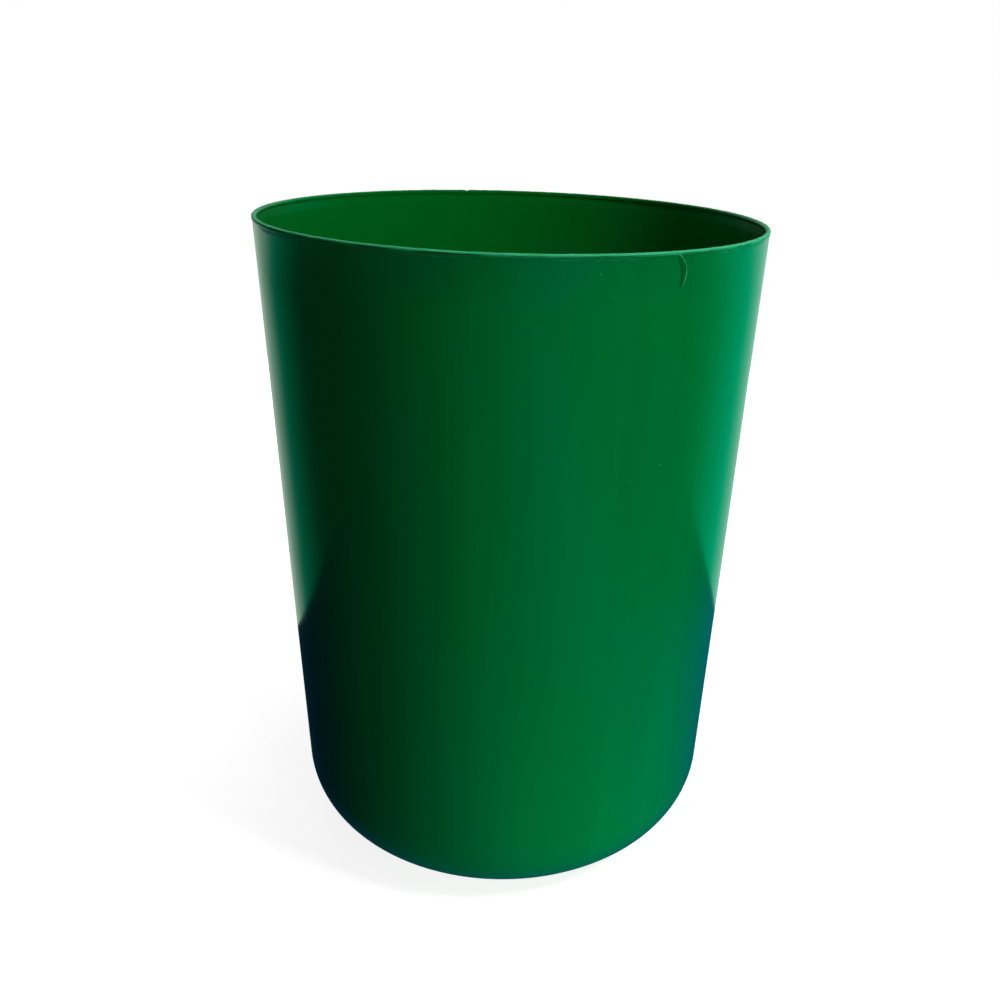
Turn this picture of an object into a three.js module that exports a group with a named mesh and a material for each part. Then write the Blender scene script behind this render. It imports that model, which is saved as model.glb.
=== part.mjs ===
// A florist bucket: one thin tapered plastic moulding that stands open on its base,
// with the flash that trimming leaves at its lip.
// Millimetres, +Z up. The origin is the middle of the plane that the bucket stands on.

import * as THREE from "three";

// The moulding, outside.
const height = 320;
const mouthRadius = 120; // outside of the lip
const baseRadius = 105; // where the wall's slope would meet the ground
const cornerRadius = 40; // the large bend from the wall into the base

// Its thicknesses.
const wallThickness = 1.8;
const floorThickness = 2.2;

// The lip: a bead with a round top, a little thicker than the wall on both sides.
const lipThickness = 2.2;
const lipHeight = 2.4;
const lipOverhang = 0.2; // how far the bead stands out of the wall

// The mouth: the inside of the wall is relieved below the lip, which helps stacking.
const reliefHeight = 4;
const reliefDepth = 0.3;

// The base: a flat ring to stand on, round a floor that is pushed up.
const footWidth = 9;
const pushUp = 3;
const pushUpRun = 7; // width of the slope between the ring and the floor
const gateRadius = 2.4; // the mark where the plastic entered the mould
const gateHeight = 0.9;

// Flash left at the lip when the moulding was trimmed.
const flashGap = 0.3; // clearance to the wall and to the lip
const filmThickness = 0.35;
const films = [
  { name: "flash_film_right", from: -54, to: -19, drop: 2.2 },
  { name: "flash_film_front", from: -88, to: -62, drop: 0.8 },
  { name: "flash_film_left", from: -113, to: -96, drop: 0.7 },
  { name: "flash_film_far_left", from: -155, to: -135, drop: 1.9 },
];
const strandAngle = -57.2; // where the strand leaves the lip, in degrees from +X
const strandThickness = 0.8;
// The strand's run: along the lip, down from the top of the lip, and out of the lip.
const strandRun = [
  [0.0, 1.3, 0.1],
  [1.4, 2.7, 0.4],
  [2.8, 4.8, 0.8],
  [3.6, 6.8, 1.0],
  [4.0, 8.9, 1.0],
  [4.0, 10.8, 0.9],
  [3.6, 12.6, 0.7],
  [3.1, 14.7, 0.4],
];

// How finely the round shapes are faceted.
const turnSteps = 72;
const cornerSteps = 8;
const lipSteps = 4; // in a quarter of its round top
const stepDegrees = 3; // along a flash film
const strandSteps = 24;
const strandSides = 6;

const plastic = new THREE.MeshStandardMaterial({
  name: "green_plastic",
  color: 0x04692e,
  roughness: 0.25,
  metalness: 0,
});
const trimmedPlastic = new THREE.MeshStandardMaterial({
  name: "trimmed_plastic",
  color: 0x2fa06a,
  roughness: 0.5,
  metalness: 0,
});

// Radius of the outer wall at a height, where it is straight.
function wallRadius(z) {
  const top = mouthRadius - lipOverhang;
  return baseRadius + ((top - baseRadius) * z) / height;
}

// Points of an arc from one angle to another, both in radians, ends included.
function arc(centre, radius, from, to, steps) {
  return Array.from({ length: steps + 1 }, (_, i) => {
    const angle = from + ((to - from) * i) / steps;
    return new THREE.Vector2(
      centre.x + radius * Math.cos(angle),
      centre.y + radius * Math.sin(angle),
    );
  });
}

// The bend between the base and the wall, for a radius measured from its centre.
// The outer and the inner bend share one centre, so that the wall keeps its thickness.
function bend(radius) {
  const slope = Math.atan2(mouthRadius - lipOverhang - baseRadius, height);
  const reach = cornerRadius * Math.tan((Math.PI / 2 - slope) / 2);
  const centre = new THREE.Vector2(baseRadius - reach, cornerRadius);
  return arc(centre, radius, -Math.PI / 2, -slope, cornerSteps);
}

// Half of the bucket's section, from the axis under the floor, round the outside and
// the lip, and down the inside to the axis again.
function bucketSection() {
  const outerBend = bend(cornerRadius);
  const innerBend = bend(cornerRadius - wallThickness);
  const footOuter = outerBend[0].x;
  const footInner = footOuter - footWidth;
  const floorEdge = footInner - pushUpRun;
  const floorTop = pushUp + floorThickness;
  const lipFoot = height - lipHeight;
  const lipRadius = lipThickness / 2;
  const lipCentre = new THREE.Vector2(mouthRadius - lipRadius, height - lipRadius);
  const innerMouth = mouthRadius - lipThickness;
  const innerWall = (z) => wallRadius(z) - wallThickness;
  const reliefFoot = lipFoot - reliefHeight;
  const point = (r, z) => new THREE.Vector2(r, z);
  return [
    point(0, pushUp - gateHeight),
    point(gateRadius, pushUp - gateHeight),
    point(gateRadius * 1.2, pushUp),
    point(floorEdge, pushUp),
    point(footInner, 0),
    ...outerBend,
    point(wallRadius(lipFoot), lipFoot),
    point(mouthRadius, lipFoot + lipOverhang),
    ...arc(lipCentre, lipRadius, 0, Math.PI, lipSteps * 2),
    point(innerMouth, lipFoot + lipOverhang),
    point(innerWall(lipFoot) + reliefDepth, lipFoot),
    point(innerWall(reliefFoot), reliefFoot),
    ...innerBend.reverse(),
    point(footInner, floorThickness),
    point(floorEdge, floorTop),
    point(0, floorTop),
  ];
}

function bucketBody() {
  const geometry = new THREE.LatheGeometry(bucketSection(), turnSteps);
  geometry.rotateX(Math.PI / 2);
  return geometry;
}

// A film of flash that lies against the wall under the lip: a thin ring sector, with
// an uneven lower edge that runs out at both ends.
function flashFilm({ from, to, drop }) {
  const top = height - lipHeight - flashGap;
  const inner = wallRadius(top) + flashGap;
  const outer = inner + filmThickness;
  const steps = Math.ceil((to - from) / stepDegrees);
  const start = THREE.MathUtils.degToRad(from);
  const end = THREE.MathUtils.degToRad(to);
  const origin = new THREE.Vector2(0, 0);
  const outline = [
    ...arc(origin, outer, start, end, steps),
    ...arc(origin, inner, end, start, steps),
  ];
  const geometry = new THREE.ExtrudeGeometry(new THREE.Shape(outline), {
    depth: drop,
    bevelEnabled: false,
  });
  const position = geometry.getAttribute("position");
  for (let i = 0; i < position.count; i++) {
    const angle = Math.atan2(position.getY(i), position.getX(i));
    const along = (angle - start) / (end - start);
    const runOut = 0.35 + 0.65 * Math.sin(Math.PI * THREE.MathUtils.clamp(along, 0, 1));
    const uneven = 1 + 0.15 * Math.sin(angle * 40) * Math.sin(angle * 17);
    const level = position.getZ(i) > drop / 2 ? 0 : -drop * runOut * uneven;
    position.setZ(i, top + level);
  }
  return geometry;
}

// The strand: a whisker of flash that hangs outside the wall from the lip.
function flashStrand() {
  const points = strandRun.map(([along, down, out]) => {
    const z = height - down;
    const clear = lipOverhang + flashGap + strandThickness / 2;
    const radius = wallRadius(z) + clear + out;
    const angle = THREE.MathUtils.degToRad(strandAngle) + along / mouthRadius;
    return new THREE.Vector3(radius * Math.cos(angle), radius * Math.sin(angle), z);
  });
  const section = new THREE.Shape(
    arc(new THREE.Vector2(0, 0), strandThickness / 2, 0, 2 * Math.PI, strandSides).slice(1),
  );
  return new THREE.ExtrudeGeometry(section, {
    steps: strandSteps,
    extrudePath: new THREE.CatmullRomCurve3(points),
    bevelEnabled: false,
  });
}

function named(name, geometry, material) {
  const mesh = new THREE.Mesh(geometry, material);
  mesh.name = name;
  return mesh;
}

const bucket = new THREE.Group();
bucket.add(named("bucket_body", bucketBody(), plastic));
for (const film of films) {
  bucket.add(named(film.name, flashFilm(film), trimmedPlastic));
}
bucket.add(named("flash_strand", flashStrand(), trimmedPlastic));

export default bucket;
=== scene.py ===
# %% [markdown]
# # A florist bucket
# A florist's bucket is one thin, tapered plastic moulding, deep enough to hold long
# stems in water. Nothing on it moves and nothing is fixed to it, so all of its looks
# come from an exact section, a slim lip, the scraps of flash that trimming leaves
# there, and one well-made glossy plastic.
#
# The CAD model gives the sizes. This lesson builds finer surfaces on them.

# %% Load the frame
import math

import bmesh
import bpy
from mathutils import Matrix, Vector, noise


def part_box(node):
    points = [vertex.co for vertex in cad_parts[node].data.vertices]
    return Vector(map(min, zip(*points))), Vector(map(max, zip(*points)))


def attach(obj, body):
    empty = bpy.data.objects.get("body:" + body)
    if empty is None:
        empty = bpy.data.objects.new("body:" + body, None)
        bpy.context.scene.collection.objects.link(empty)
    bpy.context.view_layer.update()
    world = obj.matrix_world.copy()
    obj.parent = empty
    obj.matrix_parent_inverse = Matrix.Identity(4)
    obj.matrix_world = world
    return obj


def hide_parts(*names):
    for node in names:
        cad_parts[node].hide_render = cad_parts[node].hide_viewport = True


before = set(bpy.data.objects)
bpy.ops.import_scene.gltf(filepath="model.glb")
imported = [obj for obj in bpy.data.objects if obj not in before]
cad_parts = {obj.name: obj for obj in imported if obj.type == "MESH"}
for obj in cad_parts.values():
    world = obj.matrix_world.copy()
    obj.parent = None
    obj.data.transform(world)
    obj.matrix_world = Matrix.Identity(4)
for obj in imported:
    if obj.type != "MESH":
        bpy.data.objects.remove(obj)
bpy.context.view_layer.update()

scene = bpy.context.scene
low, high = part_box("bucket_body")
height = high.z
mouth_radius = high.x
print(f"bucket {height * 1000:.0f} mm high, {mouth_radius * 2000:.0f} mm across the mouth")

# %% [markdown]
# ## The camera
# The bucket is seen from close by and from above its mouth, so the back of the lip
# shows as a flat ellipse and the wall narrows quickly towards the floor. A camera that
# is placed by distance, height, heading, tilt and roll is easy to read and to adjust.
# A small shift slides the bucket sideways in the frame without changing how it is seen.

# %% Camera
camera_distance = 0.5335
camera_height = 0.3816
camera_heading = math.radians(3.02)
camera_tilt = math.radians(21.04)
camera_roll = math.radians(2.13)

camera_data = bpy.data.cameras.new("camera")
camera_data.sensor_width = 36.0
camera_data.lens = 39.53
camera_data.shift_x = -0.063
camera = bpy.data.objects.new("camera", camera_data)
scene.collection.objects.link(camera)
scene.camera = camera
camera.matrix_world = (
    Matrix.Translation((0.0, -camera_distance, camera_height))
    @ Matrix.Rotation(-camera_heading, 4, "Z")
    @ Matrix.Rotation(math.pi / 2 - camera_tilt, 4, "X")
    @ Matrix.Rotation(camera_roll, 4, "Z")
)
print(f"camera {camera_distance:.3f} m in front and {camera_height:.3f} m up")

# %% [markdown]
# ## The moulding's section
# Every point of the bucket lies on one section turned round the axis. The section could
# be a curve with a Screw modifier, but a line of straight edges whose corners are
# rounded one by one keeps each size in sight: the corners are where two faces of the
# mould would meet, and each gets the radius that the mould has there.

# %% Sizes of the section, in metres
wall = 0.0018
floor_thickness = 0.0022
base_radius = 0.105
corner_radius = 0.040
lip_thickness = 0.0022
lip_height = 0.0024
lip_overhang = 0.0002
relief_height = 0.004
relief_depth = 0.0003
foot_width = 0.009
push_up = 0.003
push_up_run = 0.007
gate_radius = 0.0024
gate_height = 0.0009

wall_top = mouth_radius - lip_overhang
slope = math.atan2(wall_top - base_radius, height)
corner_reach = math.tan((math.pi / 2 - slope) / 2)
foot_outer = base_radius - corner_radius * corner_reach
foot_inner = foot_outer - foot_width
floor_edge = foot_inner - push_up_run
floor_top = push_up + floor_thickness
lip_foot = height - lip_height
print(f"the wall leans out by {math.degrees(slope):.2f} degrees")


# %% A helper that gives the wall's outer radius at a height
def wall_radius(z):
    return base_radius + (wall_top - base_radius) * z / height


print(f"outer radius at half height {wall_radius(height / 2) * 1000:.1f} mm")


# %% A helper that rounds one corner of a line
def round_corner(bm, vert, radius, segments):
    """Rounds a corner to a radius. The bevel is set by its reach along the two edges."""
    ways = [(edge.other_vert(vert).co - vert.co).normalized() for edge in vert.link_edges]
    bmesh.ops.bevel(
        bm,
        geom=[vert],
        offset=radius / math.tan(ways[0].angle(ways[1]) / 2),
        offset_type="OFFSET",
        affect="VERTICES",
        segments=segments,
        profile=0.5,
        material=-1,
        clamp_overlap=False,
    )


# %% [markdown]
# ## The lip
# The mould leaves a slim bead round the mouth, and a scraper then takes the flash off its
# outer edge by hand. That leaves a pale round top, whose paleness is partly a painted
# highlight, and, just below it, the fine groove where the blade stopped. The groove is one
# more notch in the section, so that it catches a real shadow, and the trimming below makes
# it uneven.

# %% Corners of the section: radius, height, and how each is rounded
inner_radius = corner_radius - wall
inner_corner = foot_outer + inner_radius * corner_reach
inner_mouth = mouth_radius - lip_thickness
relief_foot = lip_foot - relief_height
lip_round = lip_thickness / 2 - 0.00002
scraped_round = 0.0007
groove_z = height - 0.00100
groove_half = 0.00016
groove_depth = 0.00010
bead_step = 0.0006

corners = [
    (0.0, push_up - gate_height, None, 0),
    (gate_radius, push_up - gate_height, 0.0003, 3),
    (gate_radius * 1.2, push_up, 0.0004, 3),
    (floor_edge, push_up, 0.006, 5),
    (foot_inner, 0.0, 0.004, 5),
    (base_radius, 0.0, corner_radius, 28),
    (wall_radius(lip_foot), lip_foot, None, 0),
    (mouth_radius, lip_foot + bead_step, bead_step, 2),
    (mouth_radius, groove_z - groove_half, None, 0),
    (mouth_radius - groove_depth, groove_z, None, 0),
    (mouth_radius, groove_z + groove_half, None, 0),
    (mouth_radius, height, scraped_round, 6),
    (inner_mouth, height, lip_round, 7),
    (inner_mouth, lip_foot + lip_overhang, 0.0003, 2),
    (wall_radius(lip_foot) - wall + relief_depth, lip_foot, None, 0),
    (wall_radius(relief_foot) - wall, relief_foot, 0.004, 3),
    (inner_corner, wall, inner_radius, 24),
    (foot_inner, floor_thickness, 0.006, 5),
    (floor_edge, floor_top, 0.008, 5),
    (0.0, floor_top, None, 0),
]
print(f"{len(corners)} corners in the section")

# %% [markdown]
# ## Spinning the moulding
# The rounded line is spun a full turn and its two ends on the axis are merged, which
# closes the floor. Some hundreds of steps keep the lip's edge smooth from close by. The
# wall also gets cross edges, because long thin faces shade badly where the light
# changes down the wall.

# %% Spin the body
turn_steps = 576
wall_levels = 12

moulding = bmesh.new()
points = [moulding.verts.new((r, 0.0, z)) for r, z, _, _ in corners]
for start, end in zip(points, points[1:]):
    moulding.edges.new((start, end))
for point, (_, _, radius, segments) in zip(points, corners):
    if radius:
        round_corner(moulding, point, radius, segments)
long_edges = [edge for edge in moulding.edges if edge.calc_length() > height / 2]
bmesh.ops.subdivide_edges(moulding, edges=long_edges, cuts=wall_levels)
section_points = len(moulding.verts)
bmesh.ops.spin(
    moulding,
    geom=moulding.verts[:] + moulding.edges[:],
    cent=(0.0, 0.0, 0.0),
    axis=(0.0, 0.0, 1.0),
    angle=2 * math.pi,
    steps=turn_steps,
    use_merge=True,
)
bmesh.ops.remove_doubles(moulding, verts=moulding.verts[:], dist=1e-6)
bmesh.ops.recalc_face_normals(moulding, faces=moulding.faces[:])
print(f"{section_points} points spun into {len(moulding.faces)} faces")

# %% [markdown]
# ## Trimming by hand
# A hand-held blade never cuts evenly. The top of the lip swells and dips by a tenth of a
# millimetre, the groove under it tears deeper along some stretches than along others,
# and one nick shows at the back. Moving the lip's own points by a noise keeps all of
# this in the shape, so it also shows in the outline.

# %% The noise: how fine, how much finer each octave is, how many, and how far it swings
noise_fineness = 0.9
noise_step = 2.1
noise_octaves = 4
noise_swing = 0.6


# %% A helper: an even noise round the lip, from 0 to 1
def lip_noise(angle, waves):
    place = Vector((math.cos(angle), math.sin(angle), 0.0)) * waves
    level = noise.fractal(place, noise_fineness, noise_step, noise_octaves)
    return min(1.0, max(0.0, 0.5 + noise_swing * level))


print(f"noise at the front of the lip {lip_noise(-math.pi / 2, 30):.2f}")

# %% Trim the lip
trim_depth = 0.00016
trim_waves = 32
tear_depth = 0.00045
tear_height = 0.00016
tear_waves = 26
tear_elsewhere = 0.25
nick_angle = math.radians(103.3)
nick_width = math.radians(0.55)
nick_depth = 0.0006
torn_stretches = [(-112.0, -95.0), (-90.0, -60.0), (-156.0, -140.0), (20.0, 45.0)]

torn_points = 0
for vert in moulding.verts:
    if vert.co.z < lip_foot + lip_overhang / 2:
        continue
    angle = math.atan2(vert.co.y, vert.co.x)
    share = (vert.co.z - lip_foot) / lip_height
    nick = max(0.0, 1.0 - abs(angle - nick_angle) / nick_width)
    trim = trim_depth * lip_noise(angle, trim_waves) + nick_depth * nick
    if abs(vert.co.z - groove_z) < 1e-5:
        torn = any(a < math.degrees(angle) < b for a, b in torn_stretches)
        tear = lip_noise(angle, tear_waves) * (1.0 if torn else tear_elsewhere)
        vert.co.xy *= 1.0 - tear_depth * tear / mouth_radius
        vert.co.z -= tear_height * tear
        torn_points += 1
    vert.co.z -= trim * share
print(f"{torn_points} points in the groove")

# %% A helper that makes a finished piece
sharp_angle = math.radians(50)


def add_piece(name, bm, slot, *nodes):
    """Turns a bmesh into a smooth shaded piece, which may stand for CAD nodes."""
    open_edges = sum(not edge.is_manifold for edge in bm.edges)
    mesh = bpy.data.meshes.new(name)
    bm.to_mesh(mesh)
    bm.free()
    mesh.shade_smooth()
    mesh.set_sharp_from_angle(angle=sharp_angle)
    piece = bpy.data.objects.new(name, mesh)
    scene.collection.objects.link(piece)
    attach(piece, "root")
    if nodes:
        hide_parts(*nodes)
    print(f"{name}: {len(mesh.polygons)} faces, {open_edges} open edges")
    return piece


# %% Finish the body
body = add_piece("bucket_moulding", moulding, "green_plastic", "bucket_body")

# %% [markdown]
# ## Films of flash
# Where the parts of a mould don't quite close at the lip, plastic creeps out as a film
# thinner than paper. Trimming folds what is left of it down against the wall. Each film
# is a thin wedge that hangs from under the lip. It could be a sheet with a Solidify
# modifier, but spinning a wedge-shaped section through part of a turn follows the wall
# by itself, and a noise on its lower edge makes it ragged. The film on the right lies
# higher than the others, over the bead. A spin carries its face away to the far end, so
# the section is doubled first, which leaves a face to close the near end.

# %% Films: node, start and end round the lip in degrees, top, depth, and how ragged
films = [
    ("flash_film_right", -54.0, -19.0, 0.0012, 0.0019, 0.5),
    ("flash_film_front", -88.0, -62.0, 0.0022, 0.0008, 0.9),
    ("flash_film_left", -113.0, -96.0, 0.0022, 0.0007, 0.9),
    ("flash_film_far_left", -155.0, -135.0, 0.0022, 0.0016, 0.4),
]
film_root = 0.00030
film_edge = 0.00008
film_shoulder = 0.4
film_step = math.radians(0.2)
film_waves = 45
film_end = 0.1
film_taper = 1.6


# %% A helper that spins a film
def make_film(node, start, end, below, depth, ragged):
    start, end = math.radians(start), math.radians(end)
    top = height - below
    face_radius = wall_radius(top)
    bm = bmesh.new()
    wedge = [
        (face_radius - film_root, top),
        (face_radius - film_root, top - depth),
        (face_radius + film_edge, top - depth),
        (face_radius + film_edge * 3, top - depth * film_shoulder),
        (face_radius + lip_overhang, top),
    ]
    first = bm.faces.new([bm.verts.new((r, 0.0, z)) for r, z in wedge])
    turn = Matrix.Rotation(start, 3, "Z")
    bmesh.ops.rotate(bm, verts=bm.verts[:], cent=(0.0, 0.0, 0.0), matrix=turn)
    bmesh.ops.duplicate(bm, geom=[first])
    bmesh.ops.spin(
        bm,
        geom=[first],
        cent=(0.0, 0.0, 0.0),
        axis=(0.0, 0.0, 1.0),
        angle=end - start,
        steps=round((end - start) / film_step),
    )
    bmesh.ops.remove_doubles(bm, verts=bm.verts[:], dist=1e-7)
    for vert in bm.verts:
        angle = math.atan2(vert.co.y, vert.co.x)
        along = min(max((angle - start) / (end - start), 0.0), 1.0)
        full = min(1.0, math.sin(math.pi * along) * film_taper)
        run_out = film_end + (1.0 - film_end) * full
        left = max(film_end, 1.0 - ragged * lip_noise(angle, film_waves))
        vert.co.z = top - (top - vert.co.z) * run_out * left
    bmesh.ops.recalc_face_normals(bm, faces=bm.faces[:])
    return add_piece(node.replace("flash", "torn"), bm, "trimmed_plastic", node)


# %% Make the films
film_pieces = [make_film(*film) for film in films]

# %% [markdown]
# ## The strand of flash
# One whisker of flash was pulled off the lip and left hanging outside. It is a thread
# thinner than a millimetre that is thick where it tears off the lip, leans out from the
# wall, kinks a little and ends in a frayed tip. A curve with a bevel is the quick way
# to a thread, and each of its points can have a thickness of its own.

# %% The strand's run: along the lip, down from its top, out of it, and thickness
strand_angle = math.radians(-57.2)
strand_radius = 0.0004
strand_gap = lip_overhang + 0.0003 + strand_radius
strand_grain = 900.0
strand_fray = strand_radius * 0.25
strand_run = [
    (-0.0010, 0.0008, -0.0012, 1.5),
    (0.0000, 0.0016, -0.0004, 1.3),
    (0.0012, 0.0028, 0.0001, 0.9),
    (0.0024, 0.0048, 0.0003, 1.15),
    (0.0030, 0.0068, 0.0005, 0.8),
    (0.0032, 0.0089, 0.0005, 1.05),
    (0.0030, 0.0108, 0.0004, 0.75),
    (0.0027, 0.0125, 0.0002, 1.15),
    (0.0023, 0.0140, 0.0, 0.6),
]

strand_curve = bpy.data.curves.new("strand_curve", "CURVE")
strand_curve.dimensions = "3D"
strand_curve.bevel_depth = strand_radius
strand_curve.bevel_resolution = 3
strand_curve.resolution_u = 6
strand_curve.use_fill_caps = True
spline = strand_curve.splines.new("NURBS")
spline.points.add(len(strand_run) - 1)
for point, (along, down, out, thickness) in zip(spline.points, strand_run):
    z = height - down
    radius = wall_radius(z) + strand_gap + out
    angle = strand_angle + along / mouth_radius
    point.co = (radius * math.cos(angle), radius * math.sin(angle), z, 1.0)
    point.radius = thickness
spline.use_endpoint_u = True
spline.order_u = 3
print(f"strand of {len(strand_run)} points")

# %% Make it a mesh, so that it is one more piece like the others
strand_source = bpy.data.objects.new("strand_source", strand_curve)
scene.collection.objects.link(strand_source)
bpy.context.view_layer.update()
strand_shape = strand_source.evaluated_get(bpy.context.evaluated_depsgraph_get())
strand_bm = bmesh.new()
strand_bm.from_mesh(strand_shape.to_mesh())
bpy.data.objects.remove(strand_source)
bmesh.ops.remove_doubles(strand_bm, verts=strand_bm.verts[:], dist=1e-6)
for vert in strand_bm.verts:
    vert.co += noise.noise_vector(vert.co * strand_grain) * strand_fray
bmesh.ops.recalc_face_normals(strand_bm, faces=strand_bm.faces[:])
strand = add_piece("torn_strand", strand_bm, "trimmed_plastic", "flash_strand")

# %% [markdown]
# ## Crumbs
# Trimming also throws off crumbs, and static holds a few of them on the wall. Each is a
# flattened icosphere a fraction of a millimetre across, pressed a little into the wall.

# %% Crumbs: angle round the wall in degrees, height, and size
crumbs = [
    (-71.3, 0.3060, 0.00030),
    (-70.6, 0.3032, 0.00034),
    (-73.9, 0.3123, 0.00026),
    (-56.7, 0.2300, 0.00042),
    (-64.2, 0.2250, 0.00036),
    (-98.0, 0.1900, 0.00026),
    (38.0, 0.2700, 0.00034),
    (171.0, 0.2450, 0.00036),
]
crumb_shape = (0.35, 1.0, 0.8, 1.0)
crumb_grain = 3000.0
crumb_unevenness = 0.00005

crumb_bm = bmesh.new()
for angle, z, size in crumbs:
    place = (
        Matrix.Rotation(math.radians(angle), 4, "Z")
        @ Matrix.Translation((wall_radius(z), 0.0, z))
        @ Matrix.Diagonal(crumb_shape)
    )
    bmesh.ops.create_icosphere(crumb_bm, subdivisions=2, radius=size, matrix=place)
for vert in crumb_bm.verts:
    vert.co += noise.noise_vector(vert.co * crumb_grain) * crumb_unevenness
bmesh.ops.recalc_face_normals(crumb_bm, faces=crumb_bm.faces[:])
crumb_piece = add_piece("flash_crumbs", crumb_bm, "trimmed_plastic")

# %% [markdown]
# ## Shared effects
# The body and the flash are the same plastic, so their flow marks, dust and rubbing are
# shader node groups, built once and placed in each material with values of its own.
# A group only puts out masks and heights. What they do is settled in each material.

# %% Names of the socket types
FLOAT, VECTOR, COLOR = "NodeSocketFloat", "NodeSocketVector", "NodeSocketColor"


# %% A helper that starts a node group
def new_group(name, inputs, outputs):
    """A shader node group with named sockets. Inputs are (name, type, default)."""
    group = bpy.data.node_groups.new(name, "ShaderNodeTree")
    for label, kind, value in inputs:
        socket = group.interface.new_socket(label, in_out="INPUT", socket_type=kind)
        if value is not None:
            socket.default_value = value
    for label in outputs:
        group.interface.new_socket(label, in_out="OUTPUT", socket_type=FLOAT)
    entry = group.nodes.new("NodeGroupInput")
    return group, entry.outputs, group.nodes.new("NodeGroupOutput").inputs


# %% A helper that adds a node, sets its properties, and sets or links its inputs
def add_node(tree, kind, properties, inputs):
    node = tree.nodes.new(kind)
    for name, value in properties.items():
        setattr(node, name, value)
    for name, value in inputs.items():
        if isinstance(value, bpy.types.NodeSocket):
            tree.links.new(value, node.inputs[name])
        else:
            node.inputs[name].default_value = value
    return node


# %% Short helpers for arithmetic, lengths, ranges, stretched places and mixes
def maths(tree, operation, first, second=0.0):
    inputs = {0: first, 1: second}
    return add_node(tree, "ShaderNodeMath", {"operation": operation}, inputs).outputs[0]


def length(tree, vector):
    node = add_node(tree, "ShaderNodeVectorMath", {"operation": "LENGTH"}, {0: vector})
    return node.outputs["Value"]


def ramp_range(tree, value, start, end, low_value=0.0, high_value=1.0):
    inputs = {0: value, 1: start, 2: end, 3: low_value, 4: high_value}
    return add_node(tree, "ShaderNodeMapRange", {}, inputs).outputs[0]


def stretched(tree, place, x, y, z):
    inputs = {"Vector": place, "Scale": (x, y, z)}
    return add_node(tree, "ShaderNodeMapping", {}, inputs).outputs[0]


def mix_colour(tree, mask, first, second):
    inputs = {0: mask, 6: first, 7: second}
    return add_node(tree, "ShaderNodeMix", {"data_type": "RGBA"}, inputs).outputs[2]


# %% Flow marks: the upright streaks of a long plastic flow, and a faint waviness
flow, entry, leave = new_group(
    "flow_marks",
    [("Vector", VECTOR, None), ("Streaks", FLOAT, 60.0), ("Waves", FLOAT, 12.0)],
    ["Tone", "Height"],
)
upright = stretched(flow, entry["Vector"], 1.0, 1.0, 0.03)
streaks = add_node(
    flow,
    "ShaderNodeTexNoise",
    {},
    {"Vector": upright, "Scale": entry["Streaks"], "Detail": 3.0, "Roughness": 0.6},
)
waves = add_node(
    flow,
    "ShaderNodeTexNoise",
    {},
    {"Vector": entry["Vector"], "Scale": entry["Waves"], "Detail": 1.0},
)
flow.links.new(streaks.outputs["Fac"], leave["Tone"])
flow.links.new(waves.outputs["Fac"], leave["Height"])
print(f"group {flow.name}")

# %% Dust: sparse pale specks, of many sizes
empty_share = 0.72
dust, entry, leave = new_group(
    "dust_specks",
    [("Vector", VECTOR, None), ("Scale", FLOAT, 60.0), ("Size", FLOAT, 0.05)],
    ["Mask"],
)
cells = add_node(
    dust,
    "ShaderNodeTexVoronoi",
    {},
    {"Vector": entry["Vector"], "Scale": entry["Scale"]},
)
chance = add_node(dust, "ShaderNodeSeparateColor", {}, {0: cells.outputs["Color"]})
few = maths(dust, "GREATER_THAN", chance.outputs[0], empty_share)
reach = maths(dust, "MULTIPLY", entry["Size"], chance.outputs[1])
speck = maths(dust, "LESS_THAN", cells.outputs["Distance"], reach)
dust.links.new(maths(dust, "MULTIPLY", few, speck), leave["Mask"])
print(f"group {dust.name}")

# %% Rubbing: patchy fine scratches
rub, entry, leave = new_group(
    "rubbing",
    [("Vector", VECTOR, None), ("Scale", FLOAT, 40.0), ("Amount", FLOAT, 0.5)],
    ["Mask"],
)
patches = add_node(
    rub,
    "ShaderNodeTexNoise",
    {},
    {"Vector": entry["Vector"], "Scale": entry["Scale"], "Detail": 2.0},
)
level = stretched(rub, entry["Vector"], 1.0, 1.0, 14.0)
scratches = add_node(
    rub,
    "ShaderNodeTexNoise",
    {},
    {"Vector": level, "Scale": 90.0, "Detail": 5.0, "Roughness": 0.7},
)
patchy = ramp_range(rub, patches.outputs["Fac"], 0.5, 0.7)
fine = ramp_range(rub, scratches.outputs["Fac"], 0.5, 0.62)
both = maths(rub, "MULTIPLY", patchy, fine)
rub.links.new(maths(rub, "MULTIPLY", both, entry["Amount"]), leave["Mask"])
print(f"group {rub.name}")


# %% Helpers that start a plastic and place a group in it
def new_plastic(name):
    material = bpy.data.materials.new(name)
    material.use_nodes = True
    tree = material.node_tree
    shader = tree.nodes["Principled BSDF"]
    shader.inputs["IOR"].default_value = 1.5
    place = tree.nodes.new("ShaderNodeTexCoord").outputs["Object"]
    return material, tree, shader, place


def add_group(tree, group, inputs):
    return add_node(tree, "ShaderNodeGroup", {"node_tree": group}, inputs).outputs
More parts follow.
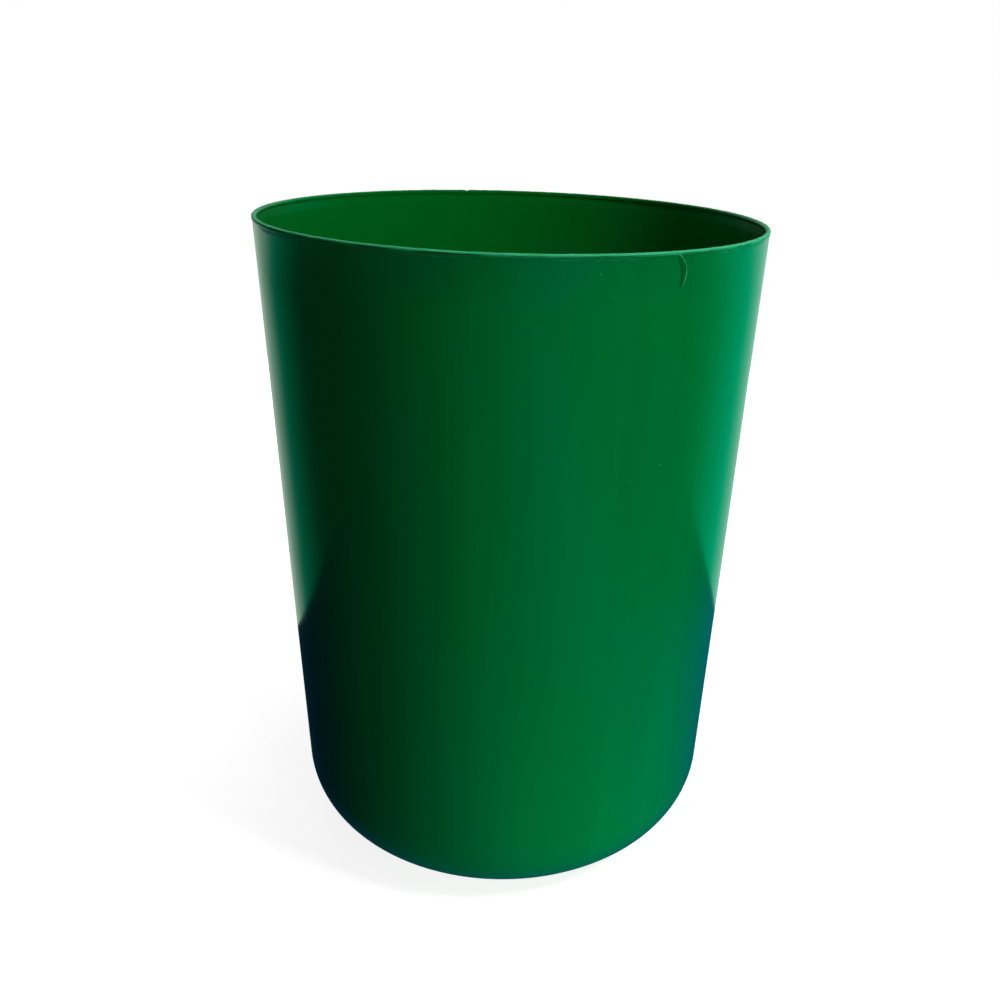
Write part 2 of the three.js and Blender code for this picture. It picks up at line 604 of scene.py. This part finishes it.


# %% [markdown]
# ## The green plastic
# Glossy polypropylene is a strong, even green with a clear surface. Its tone varies by a
# few percent along the way that the plastic flowed, and its gloss by a little more. The
# inside was against the mould's core: it is duller. The outside is painted a bluer green
# than the inside, as a painted bluish sheen. All of this reads the place on the object,
# so that the streaks stay upright and the lip stays at the lip.

# %% Where each point is: height, distance from the axis, and whether it is inside
green, tree, shader, place = new_plastic("green_plastic")
axes = add_node(tree, "ShaderNodeSeparateXYZ", {}, {0: place}).outputs
flat = add_node(tree, "ShaderNodeCombineXYZ", {}, {"X": axes["X"], "Y": axes["Y"]})
from_axis = length(tree, flat.outputs[0])
mid_wall = ramp_range(
    tree, axes["Z"], 0.0, height, base_radius - wall / 2, wall_top - wall / 2
)
within = ramp_range(
    tree, maths(tree, "SUBTRACT", mid_wall, from_axis), -0.0001, 0.0001
)
above_floor = maths(tree, "GREATER_THAN", axes["Z"], (push_up + floor_top) / 2)
within_wall = maths(tree, "MULTIPLY", within, above_floor)
print(f"inside starts {(push_up + floor_top) / 2 * 1000:.1f} mm up")

# %% The same test round the bend, whose outside also lies nearer to the axis
bend_out = maths(tree, "MAXIMUM", maths(tree, "SUBTRACT", from_axis, foot_outer), 0.0)
bend_down = maths(tree, "SUBTRACT", corner_radius, axes["Z"])
bend = add_node(tree, "ShaderNodeCombineXYZ", {}, {"X": bend_out, "Y": bend_down})
in_bend = maths(
    tree, "LESS_THAN", length(tree, bend.outputs[0]), corner_radius - wall / 2
)
above_bend = maths(tree, "GREATER_THAN", axes["Z"], corner_radius)
past_bend = maths(tree, "MAXIMUM", in_bend, above_bend)
is_inside = maths(tree, "MULTIPLY", within_wall, past_bend)
print(f"the bend's middle surface has a radius of {corner_radius - wall / 2:.4f} m")

# %% Tone: streaks outside, a bluer green outside as a painted sheen, and a duller, warmer green inside
marks = add_group(tree, flow, {"Vector": place, "Streaks": 75.0, "Waves": 14.0})
streaky = ramp_range(tree, marks["Tone"], 0.3, 0.7)
# Painted sheen: the outside tone carries more blue than the inside tone
outside_tone_and_sheen = mix_colour(
    tree, streaky, (0.0, 0.152, 0.024, 1.0), (0.0, 0.168, 0.028, 1.0)
)
inside_tone = mix_colour(
    tree, streaky, (0.0, 0.150, 0.014, 1.0), (0.0, 0.160, 0.016, 1.0)
)
tone = mix_colour(tree, is_inside, outside_tone_and_sheen, inside_tone)
print("the body's tone is mixed")

# %% [markdown]
# ## The scraped edge and its painted highlight
# The blade leaves the top of the lip pale and a little see-through, like a fresh cut in
# candle wax, and dull beside the rest. The pale colour is also a painted highlight: it is
# painted wider on the near side than on the far one. A mask by height and by distance
# from the edge keeps it in its place, and a noise makes it blotchy. The groove below it
# is painted darker here and there, as painted shade.

# %% The scraped edge with a painted highlight: pale, on the outer half of the lip's round top, and blotchy
blotches = add_node(
    tree, "ShaderNodeTexNoise", {}, {"Vector": place, "Scale": 160.0, "Detail": 3.0}
).outputs["Fac"]
up_lip = ramp_range(tree, axes["Z"], groove_z - 0.0005, groove_z + 0.0003)
# Painted highlight: the pale strip is painted wider on the near side than at the back
reach = ramp_range(tree, axes["Y"], 0.03, 0.09, 0.0019, 0.0009)
from_edge = maths(tree, "SUBTRACT", mouth_radius, from_axis)
on_edge = ramp_range(tree, maths(tree, "SUBTRACT", reach, from_edge), 0.0, 0.0003)
scraped_and_highlight = maths(tree, "MULTIPLY", up_lip, on_edge)
scrape_and_highlight_tone = mix_colour(
    tree, blotches, (0.022, 0.37, 0.155, 1.0), (0.050, 0.47, 0.22, 1.0)
)
tone = mix_colour(tree, scraped_and_highlight, tone, scrape_and_highlight_tone)
tree.links.new(maths(tree, "MULTIPLY", scraped_and_highlight, 0.8), shader.inputs["Subsurface Weight"])
shine = ramp_range(tree, scraped_and_highlight, 0.0, 1.0, 0.5, 0.2)
tree.links.new(shine, shader.inputs["Specular IOR Level"])
shader.inputs["Subsurface Radius"].default_value = (0.6, 1.0, 0.8)
shader.inputs["Subsurface Scale"].default_value = 0.002
print("the scraped edge is mixed in")

# %% Painted shade in the groove under it
painted_shade_noise = add_node(
    tree, "ShaderNodeTexNoise", {}, {"Vector": place, "Scale": 70.0, "Detail": 4.0}
).outputs["Fac"]
off_groove = maths(tree, "ABSOLUTE", maths(tree, "SUBTRACT", axes["Z"], groove_z - 0.0001))
in_groove = ramp_range(tree, off_groove, 0.0002, 0.0004, 1.0, 0.0)
outermost = ramp_range(tree, from_axis, mouth_radius - 0.001, mouth_radius - 0.0008)
patchy = ramp_range(tree, painted_shade_noise, 0.42, 0.62)
painted_shade = maths(tree, "MULTIPLY", maths(tree, "MULTIPLY", in_groove, patchy), outermost)
painted_shade = maths(tree, "MULTIPLY", painted_shade, 0.8)
# Painted shade: the groove is darkened to a near-black green in patches
tone = mix_colour(tree, painted_shade, tone, (0.001, 0.03, 0.006, 1.0))
print("the groove's grime is mixed in")

# %% [markdown]
# ## Wear, dust and gloss
# A bucket that is slid about on benches is scuffed on the ring that it stands on, and
# hardly anywhere else, and static draws a few specks of dust. The gloss follows: it
# wanders a little with the flow, and it is lost where the plastic was scraped or rubbed.
# One sum of masks sets the roughness, so each cause can be turned up or down by itself.

# %% Rubbing: scuffs on the ring that it stands on, and faint ones elsewhere
scuffs = add_group(tree, rub, {"Vector": place, "Scale": 18.0, "Amount": 1.0})["Mask"]
at_foot = ramp_range(tree, axes["Z"], 0.0008, 0.0018, 1.0, 0.0)
foot_scuffs = maths(tree, "MULTIPLY", at_foot, scuffs)
tone = mix_colour(tree, foot_scuffs, tone, (0.05, 0.24, 0.11, 1.0))
print("scuffs are mixed in")

# %% Dust
specks = add_group(tree, dust, {"Vector": place, "Scale": 45.0, "Size": 0.022})["Mask"]
tone = mix_colour(tree, specks, tone, (0.03, 0.27, 0.13, 1.0))
tree.links.new(tone, shader.inputs["Base Color"])
print("dust is mixed in")

# %% Gloss: clear outside, duller inside, dull where it was scraped or rubbed
gloss = ramp_range(tree, marks["Tone"], 0.3, 0.7, 0.13, 0.17)
dullings = [(is_inside, 0.18), (scraped_and_highlight, 0.3), (scuffs, 0.05), (foot_scuffs, 0.4)]
for mask, dulling in dullings:
    gloss = maths(tree, "ADD", gloss, maths(tree, "MULTIPLY", mask, dulling))
tree.links.new(gloss, shader.inputs["Roughness"])
print("the gloss is set")

# %% [markdown]
# ## Relief of the skin
# No moulding is as true as its mould. A thin wall waves a little as it cools, its skin is
# finely uneven, and a turned mould leaves its rings on the floor inside. All of it is far
# too shallow to need geometry, so it is heights for one Bump node.

# %% Relief: waves of a thin wall, a fine skin, and turning marks on the floor inside
skin = add_node(
    tree, "ShaderNodeTexNoise", {}, {"Vector": place, "Scale": 700.0, "Detail": 2.0}
).outputs["Fac"]
rings = add_node(
    tree,
    "ShaderNodeTexWave",
    {"wave_type": "RINGS", "rings_direction": "Z"},
    {"Vector": place, "Scale": 140.0, "Distortion": 0.4},
).outputs["Fac"]
low_down = ramp_range(tree, axes["Z"], floor_top, floor_top + 0.001, 1.0, 0.0)
on_floor = maths(tree, "MULTIPLY", low_down, above_floor)
relief = maths(tree, "ADD", marks["Height"], maths(tree, "MULTIPLY", skin, 0.012))
relief = maths(tree, "ADD", relief, maths(tree, "MULTIPLY", marks["Tone"], 0.05))
turning = maths(tree, "MULTIPLY", on_floor, rings)
relief = maths(tree, "ADD", relief, maths(tree, "MULTIPLY", turning, 0.02))
bump = add_node(
    tree, "ShaderNodeBump", {}, {"Strength": 0.35, "Distance": 0.001, "Height": relief}
)
tree.links.new(bump.outputs["Normal"], shader.inputs["Normal"])
body.data.materials.append(green)
print(f"{green.name}: {len(tree.nodes)} nodes")

# %% [markdown]
# ## The torn plastic
# Where the same plastic is torn thin, it whitens: light scatters in its stretched
# fibres. It is paler and duller, and its fibres make a fine, uneven relief. The films
# were only folded, and are hardly whitened. The strand and the crumbs were pulled hard,
# and are much paler. One helper makes both, so that they differ in their tones alone.

# %% A helper that makes a torn plastic between two tones
def make_torn(name, deep, light, white):
    material, tree, shader, place = new_plastic(name)
    marks = add_group(tree, flow, {"Vector": place, "Streaks": 400.0, "Waves": 250.0})
    specks = add_group(tree, dust, {"Vector": place, "Scale": 300.0, "Size": 0.1})["Mask"]
    scuffs = add_group(tree, rub, {"Vector": place, "Scale": 200.0, "Amount": 1.0})["Mask"]
    patchy = ramp_range(tree, marks["Height"], 0.35, 0.65)
    tone = mix_colour(tree, patchy, deep, light)
    tone = mix_colour(tree, scuffs, tone, white)
    tone = mix_colour(tree, specks, tone, white)
    gloss = ramp_range(tree, marks["Tone"], 0.3, 0.7, 0.3, 0.45)
    relief = {"Strength": 0.4, "Distance": 0.0002, "Height": marks["Tone"]}
    bump = add_node(tree, "ShaderNodeBump", {}, relief)
    tree.links.new(tone, shader.inputs["Base Color"])
    tree.links.new(gloss, shader.inputs["Roughness"])
    tree.links.new(bump.outputs["Normal"], shader.inputs["Normal"])
    print(f"{name}: {len(tree.nodes)} nodes")
    return material


# %% The films' plastic, and the paler one of the strand and the crumbs
film_plastic = make_torn(
    "film_plastic",
    deep=(0.0, 0.170, 0.036, 1.0),
    light=(0.004, 0.225, 0.07, 1.0),
    white=(0.03, 0.32, 0.13, 1.0),
)
torn_plastic = make_torn(
    "torn_plastic",
    deep=(0.004, 0.25, 0.06, 1.0),
    light=(0.03, 0.36, 0.12, 1.0),
    white=(0.10, 0.46, 0.22, 1.0),
)
for piece in film_pieces:
    piece.data.materials.append(film_plastic)
for piece in (strand, crumb_piece):
    piece.data.materials.append(torn_plastic)

# %% [markdown]
# ## The floor
# The bucket stands on a plain pale floor. The floor glows, so that it stays pale right
# to the horizon, and the rest of its light is real, so that the bucket gives it a soft
# contact shadow. It throws no shadow of its own, because two of the lamps are under it.


# %% A helper for things that aren't part of the bucket
def add_stage(name, bm, location):
    mesh = bpy.data.meshes.new(name)
    bm.to_mesh(mesh)
    bm.free()
    obj = bpy.data.objects.new(name, mesh)
    obj.location = location
    scene.collection.objects.link(obj)
    material = bpy.data.materials.new(name)
    material.use_nodes = True
    mesh.materials.append(material)
    return obj, material.node_tree


# %% Floor
floor_bm = bmesh.new()
bmesh.ops.create_grid(floor_bm, x_segments=1, y_segments=1, size=6.0)
floor, tree = add_stage("floor", floor_bm, (0.0, 0.0, -0.0002))
floor.visible_diffuse = False
floor.visible_glossy = False
floor.visible_shadow = False
shader = tree.nodes["Principled BSDF"]
shader.inputs["Base Color"].default_value = (0.5, 0.5, 0.5, 1.0)
shader.inputs["Roughness"].default_value = 1.0
shader.inputs["Specular IOR Level"].default_value = 0.0
shader.inputs["Emission Strength"].default_value = 1.0
place = tree.nodes.new("ShaderNodeTexCoord").outputs["Object"]
glow = ramp_range(tree, length(tree, place), 0.1, 0.6, 0.86, 1.0)
glow_colour = add_node(tree, "ShaderNodeCombineColor", {}, {0: glow, 1: glow, 2: glow})
tree.links.new(glow_colour.outputs[0], shader.inputs["Emission Color"])
print("floor made")

# %% [markdown]
# ## What the gloss sees
# A glossy wall shows the room. Here its edges catch a bright room behind the bucket, cut
# off below by the dark bench that it stands on. A round card stands for the bench and
# the world for the room, and only reflections see them, so each can be bright or dark
# as the gloss needs without lighting the bucket. The lamps are kept out of the gloss,
# so the front keeps its deep colour.

# %% Bench card, seen only in reflections
bench_bm = bmesh.new()
bmesh.ops.create_circle(bench_bm, cap_ends=True, segments=96, radius=0.63)
bench, tree = add_stage("bench_card", bench_bm, (0.06, -0.40, -0.0004))
bench.visible_camera = False
bench.visible_diffuse = False
bench.visible_shadow = False
tree.nodes.remove(tree.nodes["Principled BSDF"])
place = tree.nodes.new("ShaderNodeTexCoord").outputs["Object"]
side = add_node(tree, "ShaderNodeSeparateXYZ", {}, {0: place}).outputs["X"]
# The card is painted dark on the left, as the bucket's shadow on the bench, and a brighter
# blue to the right, as the bench's lit part. It is darker again at the far right.
to_right = ramp_range(tree, side, -0.2, 0.2)
bench_tone = mix_colour(
    tree, to_right, (0.002, 0.022, 0.038, 1.0), (0.0, 0.10, 0.27, 1.0)
)
far_right = ramp_range(tree, side, 0.2, 0.36)
bench_tone = mix_colour(tree, far_right, bench_tone, (0.0, 0.05, 0.08, 1.0))
bench_glow = add_node(tree, "ShaderNodeEmission", {}, {"Color": bench_tone})
tree.links.new(bench_glow.outputs[0], tree.nodes["Material Output"].inputs["Surface"])
print("bench card made")

# %% Room: brightness by compass direction, as shares of a turn from the back half
room_stops = [
    (0.490, (0.002, 0.06, 0.02)),
    (0.514, (0.0, 0.20, 0.08)),
    (0.542, (0.0, 0.60, 0.27)),
    (0.567, (0.0, 0.90, 0.45)),
    (0.592, (0.0, 0.95, 0.52)),
    (0.622, (0.0, 0.95, 0.58)),
    (0.650, (0.22, 0.90, 0.66)),
    (0.690, (0.40, 0.80, 0.64)),
    (0.820, (0.52, 0.72, 0.55)),
    (0.860, (0.27, 0.62, 0.45)),
    (0.885, (0.0, 0.42, 0.22)),
    (0.917, (0.0, 0.33, 0.14)),
    (0.958, (0.0, 0.12, 0.05)),
    (1.0, (0.002, 0.06, 0.02)),
]
world = bpy.data.worlds.new("room")
world.use_nodes = True
scene.world = world
tree = world.node_tree
tree.nodes.clear()
direction = tree.nodes.new("ShaderNodeTexCoord").outputs["Generated"]
turn = add_node(
    tree, "ShaderNodeTexGradient", {"gradient_type": "RADIAL"}, {"Vector": direction}
)
room = add_node(tree, "ShaderNodeValToRGB", {}, {"Fac": turn.outputs["Fac"]})
stops = room.color_ramp.elements
while len(stops) < len(room_stops):
    stops.new(0.5)
for stop, (position, colour) in zip(stops, room_stops):
    stop.position = position
    stop.color = (*colour, 1.0)
print(f"room of {len(stops)} stops")

# %% World: white to the camera, the room to reflections, and a dim fill to the rest
ray = tree.nodes.new("ShaderNodeLightPath").outputs


def background(colour):
    return add_node(tree, "ShaderNodeBackground", {}, {"Color": colour}).outputs[0]


def choose(test, first, second):
    inputs = {0: test, 1: first, 2: second}
    return add_node(tree, "ShaderNodeMixShader", {}, inputs).outputs[0]


fill = background((0.005, 0.006, 0.005, 1.0))
lit = choose(ray["Is Glossy Ray"], fill, background(room.outputs["Color"]))
seen = choose(ray["Is Camera Ray"], lit, background((1.0, 1.0, 1.0, 1.0)))
output = tree.nodes.new("ShaderNodeOutputWorld")
tree.links.new(seen, output.inputs["Surface"])
scene.view_settings.view_transform = "Standard"
print("world made")


# %% [markdown]
# ## Lights
# Most of the light comes from a window high on the right, which also reaches into the
# mouth. A tall narrow strip close in front lights the middle of the wall evenly, a lamp
# straight overhead picks out the lip, and two low lamps give the bluish light that comes
# back up from the bench. The left side is left deep. A back lamp keeps the far side from
# going black when the bucket is turned round.
#
# Hiding a lamp from glossy rays isn't quite enough to keep it out of the gloss. A ray
# that leaves the wall by its colour may still find the lamp by chance, and then a ghost
# of the lamp shows. Without multiple importance sampling, lamps aren't found by chance.

# %% A helper that adds a soft light, aimed at a point
def add_area(name, position, target, width, tall, power, colour=(1.0, 1.0, 1.0)):
    data = bpy.data.lights.new(name, "AREA")
    data.shape = "RECTANGLE"
    data.size = width
    data.size_y = tall
    data.energy = power
    data.color = colour
    data.cycles.use_multiple_importance_sampling = False
    lamp = bpy.data.objects.new(name, data)
    scene.collection.objects.link(lamp)
    aim = (Vector(position) - Vector(target)).to_track_quat("Z", "Y")
    lamp.matrix_world = Matrix.Translation(position) @ aim.to_matrix().to_4x4()
    lamp.visible_glossy = False
    lamp.visible_camera = False
    return lamp


# %% A helper that gives a place round the bucket, from the front towards the right
def around(degrees, distance, z):
    angle = math.radians(degrees)
    return (distance * math.sin(angle), -distance * math.cos(angle), z)


# %% Lights
middle = (0.0, 0.0, height / 2)
low_middle = (0.0, 0.0, 0.06)
bluish = (0.9, 1.0, 1.4)
add_area("window", around(55, 0.707, 0.867), middle, 0.25, 0.25, 5.8)
add_area("strip", around(12, 0.386, 0.20), (0.0, 0.0, 0.20), 0.06, 1.3, 0.60)
add_area("sky", (0.0, 0.0, 1.6), middle, 0.2, 0.2, 2.6)
add_area("bounce_right", around(50, 0.38, -0.13), low_middle, 0.3, 0.1, 0.85, bluish)
add_area("bounce_front", around(35, 0.38, -0.13), low_middle, 0.3, 0.1, 0.22, bluish)
add_area("back", around(180, 1.0, 0.20), middle, 0.8, 0.3, 5.0)
print("lights made")
